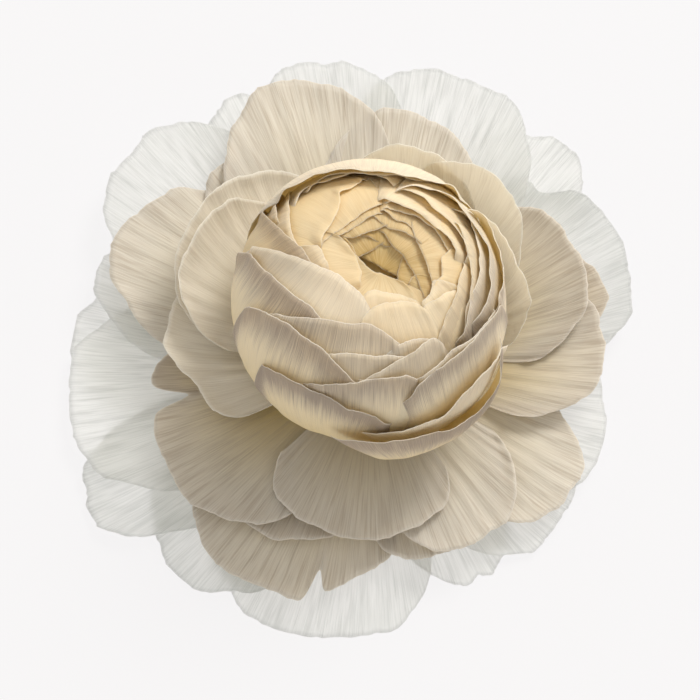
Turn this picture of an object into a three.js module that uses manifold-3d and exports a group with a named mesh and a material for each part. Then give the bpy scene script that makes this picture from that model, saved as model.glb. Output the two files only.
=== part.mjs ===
// A white ranunculus flower, picked with a stub of its stem and lying face up on its widest petals.
// Millimetres, +Z up. The stem's axis is at x = y = 0 until the whole flower is centred over the origin.
// From below: the stem with the receptacle that it swells into, five bent-back sepals, the guard petals
// that lie on the surface, the spread petals over them, the cupped collar, and the round head.
import * as THREE from "three";
import { mergeVertices } from "three/addons/utils/BufferGeometryUtils.js";
import Module from "manifold-3d";

const wasm = await Module();
wasm.setup();

// Sizes of the flower
const PETAL_THICK = 0.7;
const HEAD_PETAL_THICK = 0.6;
const GAP = 0.3; // between a ring of petals and what it sits on
const RECEPTACLE_RADIUS = 3.6;
const RECEPTACLE_SHOULDER = 15.3;
const RECEPTACLE_TOP = 15.9; // just under the foot of the head
const RING_INNER = RECEPTACLE_RADIUS + GAP;
const RING_OUTER = 8.5;
const PETAL_FOOT = 4.6; // where a petal's claw begins, measured from the stem's axis
const CLAW_LIFT = 0.6; // height of the lowest claws over the underside of their ring
const STEM_RADIUS = 2.4;
const STEM_CUT = 0.5; // the cut end stays just off the surface
const DROOP = -2; // height that the tips of the lowest petals droop towards

// Heights of the rings that the petals of each layer grow from
const SEPAL_RING = [3, 4.4];
const GUARD_RING = [5.2, 8.1];
const SPREAD_RING = [8.4, 10.7];
const COLLAR_RING = [11, 12.7];

// The head is a globe that leans towards the far side of the flower
const HEAD_BASE = [-1.2, 0, 11.4]; // the point that it leans about
const HEAD_LEAN = 10; // degrees
const HEAD_LEAN_TOWARDS = 88; // degrees, anticlockwise from +X
const HEAD_FOOT = 4.9; // height over HEAD_BASE of its flat underside
const GLOBE_CENTRE = 20.5; // height over HEAD_BASE
const SHELL_FIRST = 24.9; // radius of the shell that the outermost petals of the head lie on
const SHELL_STEP = 0.3; // each shell lies this much inside the one before
const EYE = [295, 17]; // where the head's middle is sunk: degrees anticlockwise, degrees from its top
const EYE_DEPTH = 4; // how far the shells are sunk there
const EYE_WIDTH = 24; // degrees from the eye over which they are
const CORE_RADIUS = 21.9;
const CORE_EYE_DEPTH = 6.2;
const BALL_END = 100; // degrees from the eye where the ball of the core ends
const BALL_STEP = 10; // degrees
const ROOT_RADIUS = 19.5; // the petals of the head begin this far from its centre, sunk in the core
const ROOT_DEPTH = 3; // how deep their undersides are sunk in it
const ROOT_BEND = 22; // degrees over which such a petal bends out of its root
const ROOT_WIDTH = 0.9; // how wide it is there, as a share of its width at the edge
const LIP_SHARE = 0.2; // share of its length, at the edge, over which such a petal stands off as a blade

const OUTLINE_SWEEP = 108; // degrees of the round end of a petal, to each side of its tip
const RIPPLE = 0.012; // share of its size by which a petal's edge runs in and out
const RIPPLES = 9;
const CLAW = 2.4; // half the width of a petal where it begins
const LINE_STEPS = 24; // steps along a petal's midline
const ROUND_STEPS = 16; // sides of the turned pieces
const FINEST = 5e-3; // nothing smaller than this is kept where solids are joined

const radians = THREE.MathUtils.degToRad;

// Guard petals, anticlockwise from the near side. at: direction in degrees. tip: distance from the axis
// and height of the tip. half: half the width. layer: place in the pile. notch: [place, depth, width].
// A petal whose tip would dip below the surface lies flat on it there.
const GUARD = [
  { at: 254.5, tip: [50, DROOP], half: 20, layer: 0 },
  { at: 297, tip: [43.3, DROOP], half: 9.5, layer: 0, notch: [0, 0.05, 0.12] },
  { at: 318, tip: [43.8, 1.6], half: 14, layer: 1 },
  { at: 342, tip: [43.5, 2.6], half: 16, layer: 2 },
  { at: 32, tip: [52.2, 4.4], half: 18.5, layer: 3, notch: [0.44, 0.04, 0.09] },
  { at: 53, tip: [58.3, DROOP], half: 13, layer: 0 },
  { at: 74, tip: [59.5, 7], half: 18, layer: 2 },
  { at: 100, tip: [60.5, 8], half: 15, layer: 3 },
  { at: 116, tip: [61.5, DROOP], half: 10, layer: 0 },
  { at: 136, tip: [61.5, 6.5], half: 17, layer: 2 },
  { at: 158, tip: [53.5, 4.2], half: 12, layer: 2 },
  { at: 171, tip: [55, DROOP], half: 16, layer: 0 },
  { at: 187, tip: [55.4, 3], half: 18, layer: 3 },
  { at: 206.5, tip: [57, 2], half: 12, layer: 2 },
  { at: 227, tip: [51, 1], half: 15, layer: 1 },
];

// Spread petals, which lie on the guard petals
const SPREAD = [
  { at: 243, tip: [46, 4.6], half: 19, layer: 0, notch: [0.22, 0.15, 0.05] },
  { at: 233, tip: [37, 7], half: 15.5, layer: 1 },
  { at: 207, tip: [41.5, 8.5], half: 19, layer: 2, notch: [-0.45, 0.18, 0.07] },
  { at: 265, tip: [33.9, 10.5], half: 15.5, layer: 3 },
  { at: 288, tip: [37.5, 6], half: 11, layer: 1 },
  { at: 300, tip: [38.5, 8.5], half: 12.5, layer: 2 },
  { at: 325.5, tip: [42.8, 6], half: 12.5, layer: 1 },
  { at: 5, tip: [42, 9.5], half: 13.2, layer: 2 },
  { at: 21, tip: [44.5, 8.5], half: 12, layer: 1 },
  { at: 30, tip: [42, 14], half: 15, layer: 3, endSlope: 25 },
  { at: 82, tip: [48.5, 11], half: 14, layer: 1 },
  { at: 107.5, tip: [56, 12], half: 15.5, layer: 2 },
  { at: 124, tip: [47, 10], half: 11, layer: 1 },
  { at: 150.5, tip: [52, 10], half: 15.5, layer: 2 },
];

// Collar petals, cupped upright round the head
const COLLAR = [
  { at: 175, tip: [37.5, 15.5], half: 13.5, endSlope: 35, layer: 0 },
  { at: 140, tip: [39.4, 24], half: 17, startSlope: -4, endSlope: 60, layer: 0 },
  { at: 149, tip: [36.8, 25.5], half: 14, endSlope: 66, layer: 1 },
  { at: 77, tip: [34.3, 29], half: 13, startSlope: -6, endSlope: 75, full: 0.52, layer: 0 },
  { at: 54, tip: [34.3, 31], half: 13, startSlope: -6, endSlope: 78, full: 0.52, layer: 1 },
  { at: 29, tip: [27.6, 33], half: 12.5, startSlope: -4, endSlope: 92, full: 0.52, layer: 1 },
];

// Petals of the head, from the outside in. level: the shell that each lies on, at both ends of its edge.
// peel: how far the edge stands off. rim: places along the edge, each in degrees anticlockwise and in degrees
// down from the top of the globe; those of a petal that crosses +X run on past 360. The first two stand
// well off the head in front.
const HEAD = [
  { level: [-5, -5], peel: 3.2, rim: [[265, 93], [280, 94], [295, 100], [308, 98], [317, 87], [326, 74]] },
  { level: [-3, -3], peel: 1.5, rim: [[261, 89], [280, 91], [298, 92], [320, 95]] },
  { level: [0, 0], peel: 0.9, rim: [[224, 75], [240, 72], [256, 74], [267, 79], [279, 90]] },
  { level: [0, 0], peel: 0.9, rim: [[287, 73], [296, 67], [311, 64], [332, 65], [344, 66]] },
  { level: [1, 1], peel: 0.9, rim: [[247, 70], [258, 66], [277, 63], [294, 68]] },
  { level: [1, 1], peel: 0.9, rim: [[293, 66], [306, 63], [320, 63], [334, 66]] },
  { level: [2, 2], peel: 0.9, rim: [[203, 66], [211, 55], [232, 51], [248, 53], [265, 66]] },
  { level: [2, 2], peel: 0.9, rim: [[266, 65], [280, 58], [298, 53], [306, 62]] },
  { level: [3, 3], peel: 0.9, rim: [[250, 57], [262, 54], [280, 55], [290, 58]] },
  { level: [3, 3], peel: 0.8, rim: [[346, 70], [363, 68], [378, 68], [387, 59], [391.6, 56]] },
  { level: [4, 4], peel: 0.9, rim: [[215, 56], [228, 48], [249, 43], [270, 41], [286, 51]] },
  { level: [4, 4], peel: 0.9, rim: [[277, 54], [286, 51], [298, 52], [305, 56]] },
  { level: [4, 8], peel: 1, rim: [[73, 36], [85, 41], [101, 41], [123, 44], [131, 46]] },
  { level: [4, 6], peel: 1.2, rim: [[326, 64], [345, 60], [365, 56], [383, 48], [404, 36], [423, 26]] },
  { level: [5, 5], peel: 0.9, rim: [[171, 69], [178, 56], [194, 48], [217, 42], [243, 43]] },
  { level: [5, 9], peel: 1, rim: [[38, 68], [49, 50], [64, 37], [85, 34], [114, 41], [145, 43]] },
  { level: [6, 7], peel: 1, rim: [[315.4, 65], [330, 55], [348, 53], [372, 52], [391, 48]] },
  { level: [6, 6], peel: 0.9, rim: [[174, 57], [189, 38], [206, 29], [238, 24], [264, 29], [272, 36]] },
  { level: [7, 7], peel: 0.9, rim: [[145, 70], [163, 45], [182, 33], [200, 28], [212, 28]] },
  { level: [7, 7], peel: 1, rim: [[319, 66], [328, 57], [348, 49], [365, 44], [380, 40]] },
  { level: [7, 7], peel: 0.6, rim: [[259, 38], [278, 33], [298, 35], [310, 45]] },
  { level: [8, 8], peel: 0.9, rim: [[134, 67], [144, 55], [151, 49], [160, 46]] },
  { level: [8, 8], peel: 0.6, rim: [[305, 59], [317, 52], [337, 47], [353, 46]] },
  { level: [8, 8], peel: 0.6, rim: [[305, 44], [320, 42], [334, 48]] },
  { level: [8, 8], peel: 1.2, rim: [[353.3, 47], [370, 42], [384, 34], [402, 30], [423.5, 27]] },
  { level: [9, 9], peel: 0.6, rim: [[188, 31], [192, 23], [205, 21], [220, 24]] },
  { level: [9, 9], peel: 0.6, rim: [[129, 64], [139, 50], [151, 42], [170, 36], [187, 31]] },
  { level: [9, 9], peel: 0.6, rim: [[267, 29], [277, 27], [290, 29], [309, 39]] },
  { level: [9, 9], peel: 0.6, rim: [[309, 41], [321, 39], [329, 37], [335, 45]] },
  { level: [9, 9], peel: 1, rim: [[354.6, 41], [368, 34], [388, 25], [410, 20], [438, 19]] },
];

// Petals that close round the eye, as above, but with their degrees taken about the eye
const HEART = [
  { level: [10, 10], peel: 0.6, rim: [[101, 49], [118, 42], [128, 34], [145, 31], [163, 30]] },
  { level: [10, 10], peel: 0.6, rim: [[147, 26], [155, 16], [173, 12], [194, 10], [222, 14]] },
  { level: [10, 10], peel: 0.9, rim: [[17, 32], [45, 26], [77, 27], [90, 30]] },
  { level: [10, 10], peel: 0.4, rim: [[-9, 24], [7, 28], [22, 35]] },
  { level: [10, 10], peel: 0.8, rim: [[63, 35], [84, 39], [106, 41], [115, 44]] },
  { level: [11, 11], peel: 0.3, rim: [[71, 39], [90, 32], [114, 28], [146, 26], [165, 31]] },
  { level: [12, 12], peel: 0.5, rim: [[58, 26], [78, 27], [98, 27], [120, 25], [143, 25]] },
  { level: [12, 12], peel: 0.4, rim: [[-10, 26], [19, 22], [36, 22], [60, 28]] },
  { level: [12, 12], peel: 0.2, rim: [[173, 13], [196, 7], [235, 4], [284, 5], [322, 15]] },
  { level: [13, 13], peel: 0.4, rim: [[38, 24], [54, 21], [92, 22], [136, 22]] },
  { level: [13, 13], peel: 0.4, rim: [[-20, 16], [-6, 17], [12, 18], [46, 19], [76, 23]] },
  { level: [14, 14], peel: 0.3, rim: [[36, 14], [56, 14], [98, 13], [149, 15]] },
  { level: [14, 14], peel: 0.3, rim: [[-32, 12], [-10, 6], [40, 4], [100, 5], [134, 13]] },
];

// The midline of a petal in the plane through the axis: a curve from its claw to its tip
function midline(petal) {
  const [r0, z0] = petal.foot;
  const [r1, z1] = petal.tip;
  const handle = petal.full * Math.hypot(r1 - r0, z1 - z0);
  const startAngle = radians(petal.startSlope);
  const endAngle = radians(petal.endSlope);
  const curve = new THREE.CubicBezierCurve(
    new THREE.Vector2(r0, z0),
    new THREE.Vector2(r0 + handle * Math.cos(startAngle), z0 + handle * Math.sin(startAngle)),
    new THREE.Vector2(r1 - handle * Math.cos(endAngle), z1 - handle * Math.sin(endAngle)),
    new THREE.Vector2(r1, z1),
  );
  curve.arcLengthDivisions = LINE_STEPS;
  return curve;
}

// Where the edge of a petal lies, in millimetres along and across its midline
function outline(petal, length, v) {
  const sweep = radians(OUTLINE_SWEEP) * v;
  let share = 1 + RIPPLE * Math.sin(RIPPLES * v + petal.at);
  if (petal.notch) {
    const [place, depth, width] = petal.notch;
    share -= depth * Math.exp(-(((v - place) / width) ** 2));
  }
  return {
    along: share * length * (petal.belly + (1 - petal.belly) * Math.cos(sweep)),
    across: share * petal.half * Math.sin(sweep),
  };
}

// A point on the middle surface of a petal. q runs from claw to edge and v from side to side.
function petalPoint(petal, line, length, q, v) {
  const edge = outline(petal, length, v);
  const along = q * edge.along;
  const share = Math.min(1, Math.max(0, along / length));
  const across = (1 - q) * CLAW * v + q * edge.across;
  const middle = line.getPointAt(share);
  const tangent = line.getTangentAt(share);
  // The steeper the petal stands, the more it is bent round the flower's axis
  const wrap = tangent.y / middle.x;
  const turn = wrap * across;
  const straight = Math.abs(turn) < 1e-6;
  const side = straight ? across : Math.sin(turn) / wrap;
  const inwards = straight ? 0 : (1 - Math.cos(turn)) / wrap;
  const out = middle.x - tangent.y * inwards;
  const up = Math.max(petal.lowest, middle.y + tangent.x * inwards);
  const at = radians(petal.at);
  return new THREE.Vector3(
    out * Math.cos(at) - side * Math.sin(at),
    out * Math.sin(at) + side * Math.cos(at),
    up,
  );
}

// full: how far the midline runs straight at each end. belly: where the petal is widest, as a share of its
// length. rows and columns: where the petal's facets meet.
const USUAL = {
  full: 0.38,
  startSlope: 0,
  endSlope: 0,
  belly: 0.6,
  thick: PETAL_THICK,
  lowest: -Infinity,
  rows: [0, 0.4, 0.75, 1],
  columns: 8,
};

// Places across a petal: even ones, and three more that cut the notch where there is one
function columnsOf(petal) {
  const places = [];
  for (let i = 0; i <= petal.columns; i++) places.push((2 * i) / petal.columns - 1);
  if (!petal.notch) return places;
  const [place, , width] = petal.notch;
  const clear = places.filter((v) => Math.abs(v - place) > 1.3 * width);
  return [...clear, place - width, place, place + width].sort((a, b) => a - b);
}

function petalSolid(given) {
  const petal = { ...USUAL, ...given };
  const line = midline(petal);
  const length = line.getLength();
  const point = (q, v) => petalPoint(petal, line, length, q, v);
  return blade(point, petal.rows, columnsOf(petal), petal.thick);
}

// A closed blade: the surface of the points moved half the thickness each way
function blade(point, rows, across, thick) {
  const step = 1e-3;
  const face = (side) => (q, v) => {
    const lengthwise = point(Math.min(1, q + step), v).sub(point(Math.max(0, q - step), v));
    const crosswise = point(q, Math.min(1, v + step)).sub(point(q, Math.max(-1, v - step)));
    const normal = lengthwise.cross(crosswise).normalize();
    return point(q, v).addScaledVector(normal, (side * thick) / 2);
  };
  return between(face(1), face(-1), rows, across);
}

// A closed body between two faces that are given point by point, and a rim between them
function between(front, rear, rows, across) {
  const positions = [];
  for (const face of [front, rear]) {
    for (const q of rows) {
      for (const v of across) positions.push(...face(q, v));
    }
  }
  const n = across.length;
  const back = rows.length * n;
  const faces = [];
  for (let i = 0; i + 1 < rows.length; i++) {
    for (let j = 0; j + 1 < n; j++) {
      const a = i * n + j;
      const [b, c, d] = [a + n, a + n + 1, a + 1];
      const quad = j < n / 2 - 0.5 ? [a, b, c, a, c, d] : [a, b, d, b, c, d];
      faces.push(...quad);
      for (let k = 0; k < 6; k += 3) faces.push(back + quad[k], back + quad[k + 2], back + quad[k + 1]);
    }
  }
  const loop = [];
  for (let j = 0; j < n; j++) loop.push(j);
  for (let i = 1; i < rows.length; i++) loop.push(i * n + n - 1);
  for (let j = n - 2; j >= 0; j--) loop.push((rows.length - 1) * n + j);
  for (let i = rows.length - 2; i > 0; i--) loop.push(i * n);
  loop.forEach((a, i) => {
    const b = loop[(i + 1) % loop.length];
    faces.push(a, b, back + b, a, back + b, back + a);
  });
  return solidFrom(new Float32Array(positions), new Uint32Array(faces));
}

function solidFrom(vertProperties, triVerts) {
  const solid = new wasm.Manifold(new wasm.Mesh({ numProp: 3, vertProperties, triVerts }));
  if (solid.volume() > 0) return solid;
  for (let i = 0; i < triVerts.length; i += 3)
    [triVerts[i + 1], triVerts[i + 2]] = [triVerts[i + 2], triVerts[i + 1]];
  return new wasm.Manifold(new wasm.Mesh({ numProp: 3, vertProperties, triVerts }));
}

function solidOfGeometry(geometry) {
  geometry.deleteAttribute("normal");
  geometry.deleteAttribute("uv");
  const merged = mergeVertices(geometry, FINEST);
  return solidFrom(merged.attributes.position.array, new Uint32Array(merged.index.array));
}

function turned(profile, segments) {
  const points = profile.map(([r, z]) => new THREE.Vector2(r, z));
  return solidOfGeometry(new THREE.LatheGeometry(points, segments).rotateX(Math.PI / 2));
}

// The ring in which the claws of a layer are grown together
function ring([low, high]) {
  const corners = [
    [RING_INNER, low],
    [RING_OUTER, low],
    [RING_OUTER, high],
    [RING_INNER, high],
    [RING_INNER, low],
  ];
  return turned(corners, ROUND_STEPS);
}

// Solids grown together as one body. The small hollows that overlapping petals seal between them are filled,
// also those that only close when points that all but touch are made one.
function joined(solids) {
  const fused = solids.reduce((sum, next) => sum.add(next)).simplify(FINEST);
  return largestOf(solidOfGeometry(geometryOf(largestOf(fused))));
}

function largestOf(solid) {
  return solid.decompose().reduce((largest, next) => (next.volume() > largest.volume() ? next : largest));
}

function geometryOf(solid) {
  const made = solid.getMesh();
  const geometry = new THREE.BufferGeometry();
  geometry.setAttribute("position", new THREE.BufferAttribute(new Float32Array(made.vertProperties), 3));
  geometry.setIndex(new THREE.BufferAttribute(new Uint32Array(made.triVerts), 1));
  return geometry;
}

function layerOf(petals, [low], usual) {
  return petals.map((petal) => {
    const foot = [PETAL_FOOT, low + CLAW_LIFT + usual.pile * petal.layer];
    return petalSolid({ ...usual, foot, ...petal });
  });
}

// A unit vector out of the globe's centre, from degrees anticlockwise and degrees down from the top
function direction(azimuth, polar) {
  const around = radians(azimuth);
  const down = radians(polar);
  return new THREE.Vector3(
    Math.sin(down) * Math.cos(around),
    Math.sin(down) * Math.sin(around),
    Math.cos(down),
  );
}

const eye = direction(...EYE);
const toEye = new THREE.Quaternion().setFromUnitVectors(new THREE.Vector3(0, 0, 1), eye);

// How much of the eye's depth is felt in a direction
function sunk(towards) {
  return Math.exp(-((towards.angleTo(eye) / radians(EYE_WIDTH)) ** 2));
}

// A petal that lies on its shell of the globe. It is a blade at its lip and thickens below it, down into the
// core. low: degrees down to where it begins. turn: a turn of the globe that its directions are taken with.
function wrappedSolid(petal, { low, rows, columns, turn }) {
  const edge = new THREE.SplineCurve(petal.rim.map(([azimuth, polar]) => new THREE.Vector2(azimuth, polar)));
  const { lerp, clamp } = THREE.MathUtils;
  const middle = (petal.rim[0][0] + petal.rim.at(-1)[0]) / 2;
  const face = (inner) => (q, v) => {
    const share = (v + 1) / 2;
    const top = edge.getPoint(share);
    const azimuth = lerp(lerp(middle, top.x, ROOT_WIDTH), top.x, q);
    const polar = lerp(low, top.y, q);
    const towards = direction(azimuth, polar).applyQuaternion(turn);
    const hollow = sunk(towards);
    const lip = Math.max(0, (q - 1) / LIP_SHARE + 1);
    const shell = SHELL_FIRST - SHELL_STEP * lerp(...petal.level, share) - EYE_DEPTH * hollow;
    const root = clamp((polar - low) / ROOT_BEND + 1, 0, 1) ** 2;
    const peel = petal.peel * lip * (1 - v ** 4);
    let radius = lerp(shell + peel, ROOT_RADIUS, root);
    if (inner) {
      const deep = CORE_RADIUS - ROOT_DEPTH - CORE_EYE_DEPTH * hollow;
      radius -= HEAD_PETAL_THICK;
      radius = lerp(Math.min(deep, radius), radius, lip);
    }
    return towards.multiplyScalar(radius).setZ(towards.z + GLOBE_CENTRE);
  };
  const across = [];
  for (let i = 0; i <= columns; i++) across.push((2 * i) / columns - 1);
  return between(face(false), face(true), rows, across);
}

function headPetals() {
  const upright = new THREE.Quaternion();
  const outside = { low: 118, rows: [0, 0.3, 0.55, 1 - LIP_SHARE, 1], columns: 10, turn: upright };
  const inside = { low: 70, rows: [0, 0.5, 1 - LIP_SHARE, 1], columns: 7, turn: toEye };
  return [
    ...HEAD.map((petal) => wrappedSolid(petal, outside)),
    ...HEART.map((petal) => wrappedSolid(petal, inside)),
  ];
}

// The closed body of the head, which its petals stand out of: a bowl, and a ball that is sunk at the eye
function headCore() {
  const bowl = [
    [0, HEAD_FOOT],
    [9, HEAD_FOOT],
    [15.5, 6.9],
    [19.8, 10],
    [CORE_RADIUS, 15.5],
    [CORE_RADIUS, GLOBE_CENTRE + 3],
    [0, GLOBE_CENTRE + 3],
  ];
  const ball = [];
  for (let down = BALL_END; down >= 0; down -= BALL_STEP) {
    const radius = CORE_RADIUS - CORE_EYE_DEPTH * Math.exp(-((down / EYE_WIDTH) ** 2));
    ball.push([radius * Math.sin(radians(down)), radius * Math.cos(radians(down))]);
  }
  const flatEnd = [0, ball[0][1]];
  const turn = new THREE.Matrix4().makeRotationFromQuaternion(toEye).setPosition(0, 0, GLOBE_CENTRE);
  return turned(bowl, ROUND_STEPS).add(turned([flatEnd, ...ball], ROUND_STEPS).transform(turn.elements));
}

function meshOf(name, solid, colour, roughness) {
  const geometry = geometryOf(solid);
  geometry.computeVertexNormals();
  const material = new THREE.MeshStandardMaterial({ color: colour, roughness, metalness: 0 });
  const mesh = new THREE.Mesh(geometry, material);
  mesh.name = name;
  return mesh;
}

// The stem's stub, and the receptacle above it that carries every ring of petals
function stemSolid() {
  const profile = [
    [0, STEM_CUT],
    [STEM_RADIUS, STEM_CUT],
    [STEM_RADIUS, 2.2],
    [RECEPTACLE_RADIUS, 3.4],
    [RECEPTACLE_RADIUS, RECEPTACLE_SHOULDER],
    [0, RECEPTACLE_TOP],
  ];
  return turned(profile, ROUND_STEPS);
}

function sepalSolids() {
  const sepals = [];
  for (let i = 0; i < 5; i++) {
    sepals.push(
      petalSolid({
        at: 20 + 72 * i,
        foot: [PETAL_FOOT, SEPAL_RING[0] + 0.7],
        tip: [16, 0.9],
        startSlope: -26,
        endSlope: -6,
        half: 4.2,
        belly: 0.5,
        rows: [0, 0.5, 1],
        columns: 4,
      }),
    );
  }
  return sepals;
}

const guardUsual = { pile: 0.65, startSlope: -10, endSlope: 2, belly: 0.66, lowest: PETAL_THICK / 2 };
const spreadUsual = { pile: 0.5, startSlope: -2, endSlope: 2, belly: 0.62 };
const collarUsual = { pile: 0.45, startSlope: 0, belly: 0.6 };

const guard = joined([ring(GUARD_RING), ...layerOf(GUARD, GUARD_RING, guardUsual)]);
const spread = joined([ring(SPREAD_RING), ...layerOf(SPREAD, SPREAD_RING, spreadUsual)]);
const collar = joined([ring(COLLAR_RING), ...layerOf(COLLAR, COLLAR_RING, collarUsual)]);
const calyx = joined([ring(SEPAL_RING), ...sepalSolids()]);
const head = joined([headCore(), ...headPetals()]);

const flower = new THREE.Group();
flower.add(meshOf("stem_and_receptacle", stemSolid(), 0xa9b56a, 0.6));
flower.add(meshOf("sepals", calyx, 0x9caa5e, 0.6));
flower.add(meshOf("guard_petals", guard, 0xf1f1ec, 0.55));
flower.add(meshOf("spread_petals", spread, 0xe6ddcf, 0.55));
flower.add(meshOf("collar_petals", collar, 0xe3d5b8, 0.55));

const leaning = new THREE.Group();
leaning.position.set(...HEAD_BASE);
const towards = radians(HEAD_LEAN_TOWARDS);
const leanAxis = new THREE.Vector3(-Math.sin(towards), Math.cos(towards), 0);
leaning.quaternion.setFromAxisAngle(leanAxis, radians(HEAD_LEAN));
leaning.add(meshOf("head_petals", head, 0xf0e2c0, 0.55));
flower.add(leaning);

// Centre the flower over the origin, with its lowest point on the surface
flower.updateMatrixWorld(true);
const box = new THREE.Box3().setFromObject(flower, true);
const middle = box.getCenter(new THREE.Vector3());
flower.position.set(-middle.x, -middle.y, -box.min.z);

export default flower;
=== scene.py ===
"""A white ranunculus flower that lies face up: fine petals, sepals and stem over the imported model."""
from math import cos, radians, sin

import bpy
import numpy as np
from bpy.props import FloatProperty, FloatVectorProperty, IntProperty, PointerProperty
from mathutils import Matrix, Vector


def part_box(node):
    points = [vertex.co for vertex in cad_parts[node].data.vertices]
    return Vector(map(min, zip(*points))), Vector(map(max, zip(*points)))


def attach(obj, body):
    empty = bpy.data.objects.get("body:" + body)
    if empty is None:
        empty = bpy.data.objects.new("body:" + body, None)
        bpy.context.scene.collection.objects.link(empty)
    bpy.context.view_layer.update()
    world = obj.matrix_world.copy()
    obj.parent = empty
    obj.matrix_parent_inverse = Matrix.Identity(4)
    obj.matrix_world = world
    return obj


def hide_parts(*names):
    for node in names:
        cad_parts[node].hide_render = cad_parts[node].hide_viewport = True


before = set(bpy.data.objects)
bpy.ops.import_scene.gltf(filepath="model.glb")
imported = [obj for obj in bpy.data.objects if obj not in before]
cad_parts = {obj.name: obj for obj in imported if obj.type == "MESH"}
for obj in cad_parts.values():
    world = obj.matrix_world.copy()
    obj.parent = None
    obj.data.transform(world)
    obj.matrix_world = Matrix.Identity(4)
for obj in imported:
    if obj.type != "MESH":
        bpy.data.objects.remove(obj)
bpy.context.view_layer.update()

bl_info = {
    "name": "Ranunculus flower",
    "version": (1, 0, 0),
    "blender": (4, 5, 0),
    "location": "View3D > Sidebar > Flower",
    "description": "Builds the petals, sepals, stem and stage of a white ranunculus flower",
    "category": "Add Mesh",
}

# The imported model's box, and the stem's axis, which every petal is placed round
STEM_LOW, STEM_HIGH = (np.array(corner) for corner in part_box("stem_and_receptacle"))
AXIS = (STEM_LOW + STEM_HIGH) / 2 * np.array([1, 1, 0])

# Millimetres and degrees, apart from the settings and the stage
MM = 0.001
VEIN_SHIFT = 17.3  # from the veins of one petal to those of the next
VEIN_TURNS = 97  # seeds before the shift starts again
SEED_STEP = 11  # from the seed of one petal to that of the next

# Heights of the rings that each layer grows from
SEPAL_FOOT = 3.7
GUARD_FOOT = 5.8
SPREAD_FOOT = 9.0
COLLAR_FOOT = 11.6
CLAW_START = 4.6  # distance from the stem's axis where a petal begins
DROOP = -2.0  # height of the lowest tips, if the table didn't hold them up

# The head is a globe that leans towards the far side of the flower
HEAD_BASE = (-1.2, 0.0, 11.4)
HEAD_LEAN = 10.0
HEAD_LEAN_TOWARDS = 88.0
HEAD_FOOT = (5.0, 5.8)  # where its outermost petals begin: distance from its axis, and height
FOOT_STEP = 0.08  # how much lower each shell's petals begin
GLOBE_CENTRE = 20.5  # height over the head's base


def ray(at, out, up, half, layer, **own):
    """An open petal: its direction, its tip's distance and height, half its width and its place in the pile.

    notches: (place across, depth, width) each. tinge: strength of its tinge, which is partly painted shade,
    or a pair for the two sides.
    foot: height of its ring. pile: height that a layer adds. start, end: slope at its claw and tip.
    full: how far it keeps them. belly: where it is widest. floor: the lowest that it hangs."""
    return {
        "notches": (), "tinge": 1.0, "full": 0.38,
        "at": at, "tip": (out, up), "half": half, "layer": layer, **own,
    }


# The wide outermost petals. Their tinge strengths are partly their own tint, partly painted shade.
GUARD = [
    ray(254.5, 50, DROOP, 20, 0, tinge=1.6),
    ray(297, 43.3, DROOP, 9.5, 0, notches=[(0, 0.05, 0.12)]),
    ray(318, 43.8, 1.6, 14, 1),
    ray(342, 43.5, 2.6, 16, 2),
    ray(32, 52.2, 4.4, 18.5, 3, notches=[(0.44, 0.04, 0.09)], tinge=3.6),
    ray(53, 58.3, DROOP, 13, 0),
    ray(74, 59.5, 7, 18, 2),
    ray(100, 60.5, 8, 15, 3),
    ray(116, 61.5, DROOP, 10, 0),
    ray(136, 61.5, 6.5, 17, 2),
    ray(158, 53.5, 4.2, 12, 2),
    ray(171, 55, DROOP, 16, 0),
    ray(187, 55.4, 3, 18, 3, tinge=0.5),
    ray(206.5, 57, 2, 12, 2, tinge=3.0),
    ray(227, 51, 1, 15, 1, tinge=3.6),
]
GUARD_USUAL = dict(foot=GUARD_FOOT, pile=0.65, start=-10, end=2, belly=0.66, floor=0.14)

# Spread petals, which lie on the guard petals. Their tinge strengths are partly their own tint, partly
# painted shade where the head shades them.
SPREAD = [
    ray(243, 46, 4.6, 19, 0, notches=[(0.3, 0.13, 0.035), (0.52, 0.08, 0.2)], tinge=0.9),
    ray(233, 37, 7, 15.5, 1, tinge=1.0),
    ray(207, 41.5, 8.5, 19, 2, notches=[(-0.34, 0.2, 0.055)], tinge=(2.8, 0.5)),
    ray(265, 33.9, 10.5, 15.5, 3, tinge=0.8),
    ray(288, 37.5, 6, 11, 1, tinge=0.6),
    ray(300, 38.5, 8.5, 12.5, 2, tinge=0.6),
    ray(325.5, 42.8, 6, 12.5, 1, tinge=0.6),
    ray(5, 42, 9.5, 13.2, 2, tinge=1.3),
    ray(21, 44.5, 7.9, 12, 1, tinge=2.0),
    ray(30, 42, 14, 15, 3, end=25, tinge=1.4),
    ray(82, 48.5, 11, 14, 1, tinge=0.7),
    ray(107.5, 56, 12, 15.5, 2, tinge=0.7),
    ray(124, 47, 10, 11, 1, tinge=0.7),
    ray(150.5, 52, 10, 15.5, 2, tinge=0.7),
]
SPREAD_USUAL = dict(foot=SPREAD_FOOT, pile=0.5, start=-2, end=2, belly=0.62)

# Collar petals, cupped upright round the head. Their tinge strengths are partly their own tint, partly
# painted shade.
COLLAR = [
    ray(175, 37.5, 15.5, 13.5, 0, end=35, notches=[(0.42, 0.12, 0.22)], tinge=1.3),
    ray(140, 39.4, 24, 17, 0, start=-4, end=60, tinge=1.8),
    ray(149, 36.8, 25.5, 14, 1, end=66, tinge=1.8),
    ray(77, 34.3, 29, 13, 0, start=-6, end=75, full=0.52, tinge=0.4),
    ray(54, 34.3, 31, 13, 1, start=-6, end=78, full=0.52, tinge=0.4),
    ray(29, 27.6, 33, 12.5, 1, start=-4, end=92, full=0.52, tinge=0.4),
]
COLLAR_USUAL = dict(foot=COLLAR_FOOT, pile=0.45, start=0, end=0, belly=0.6)

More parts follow.
